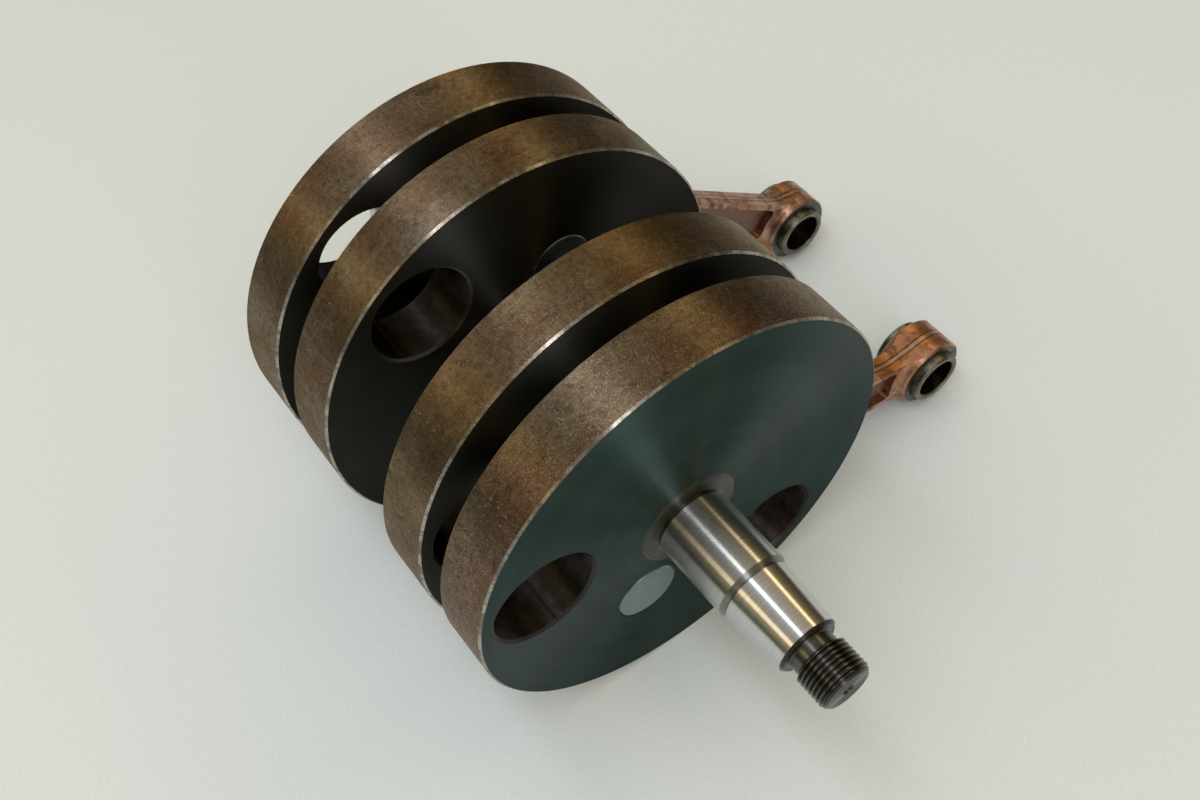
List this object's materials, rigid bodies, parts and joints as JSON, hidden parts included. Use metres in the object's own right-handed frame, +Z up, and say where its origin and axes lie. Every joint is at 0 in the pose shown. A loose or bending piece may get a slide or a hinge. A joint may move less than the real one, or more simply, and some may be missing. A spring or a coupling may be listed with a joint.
{
  "type": "parallel-twin crankshaft",
  "caption": "Pressed-up twin-cylinder crankshaft: full-disc flywheels with balance holes, tapered threaded main shaft, and two copper-plated connecting rods on roller big ends.",
  "frame": {"origin": "on the crank axis, at the middle of the centre main bearing", "axes": "+X along the crank towards the threaded drive end, +Z up as the crank lies on a bench, +Y towards the small ends"},
  "size_m": [0.2705, 0.2291, 0.152],
  "materials": {
    "flywheel_steel": "oil-browned turned steel, satin",
    "ground_steel": "ground bright",
    "pin_steel": "ground, dulled by oil",
    "copper_plated_rod": "copper-plated forging with bare machined faces",
    "bush_metal": "bored bronze, dark with oil",
    "bearing_steel": "polished",
    "cage_metal": "machined brass",
    "washer_metal": "plain bronze",
    "sleeve_steel": "turned, oily"
  },
  "bodies": {
    "crank": {"right_outer_flywheel": "flywheel_steel", "right_inner_flywheel": "flywheel_steel", "left_inner_flywheel": "flywheel_steel", "left_outer_flywheel": "flywheel_steel", "right_main_shaft": "ground_steel", "left_main_shaft": "ground_steel", "centre_shaft": "ground_steel", "right_crank_pin": "pin_steel", "left_crank_pin": "pin_steel", "centre_bearing_inner_ring": "bearing_steel", "right_seal_sleeve": "sleeve_steel", "left_seal_sleeve": "sleeve_steel", "right_outer_thrust_washer": "washer_metal", "right_inner_thrust_washer": "washer_metal", "left_outer_thrust_washer": "washer_metal", "left_inner_thrust_washer": "washer_metal"},
    "right_rod": {"right_con_rod": "copper_plated_rod", "right_small_end_bush": "bush_metal"},
    "left_rod": {"left_con_rod": "copper_plated_rod", "left_small_end_bush": "bush_metal"},
    "right_roller_cage": {"right_big_end_cage": "cage_metal", "right_big_end_rollers": "bearing_steel"},
    "left_roller_cage": {"left_big_end_cage": "cage_metal", "left_big_end_rollers": "bearing_steel"},
    "centre_outer_ring": {"centre_bearing_outer_ring": "bearing_steel"},
    "centre_ball_cage": {"centre_bearing_cage": "cage_metal", "centre_bearing_balls": "bearing_steel"}
  },
  "joints": [
    {"name": "right_rod_swing", "type": "hinge", "parent": "crank", "child": "right_rod", "pos_m": [0.0431, -0.01773, -0.02783], "axis": [1, 0, 0], "continuous": true},
    {"name": "left_rod_swing", "type": "hinge", "parent": "crank", "child": "left_rod", "pos_m": [-0.0431, 0.01773, 0.02783], "axis": [1, 0, 0], "continuous": true},
    {"name": "right_roller_cage_turn", "type": "hinge", "parent": "crank", "child": "right_roller_cage", "pos_m": [0.0431, -0.01773, -0.02783], "axis": [1, 0, 0], "continuous": true},
    {"name": "left_roller_cage_turn", "type": "hinge", "parent": "crank", "child": "left_roller_cage", "pos_m": [-0.0431, 0.01773, 0.02783], "axis": [1, 0, 0], "continuous": true},
    {"name": "centre_outer_ring_turn", "type": "hinge", "parent": "crank", "child": "centre_outer_ring", "pos_m": [0, 0, 0], "axis": [1, 0, 0], "continuous": true},
    {"name": "centre_ball_cage_turn", "type": "hinge", "parent": "crank", "child": "centre_ball_cage", "pos_m": [0, 0, 0], "axis": [1, 0, 0], "continuous": true}
  ],
  "couplings": [
    {"joint": "right_roller_cage_turn", "follows": "right_rod_swing", "ratio": 0.59259},
    {"joint": "left_roller_cage_turn", "follows": "left_rod_swing", "ratio": 0.59259},
    {"joint": "centre_ball_cage_turn", "follows": "centre_outer_ring_turn", "ratio": 0.60348}
  ]
}
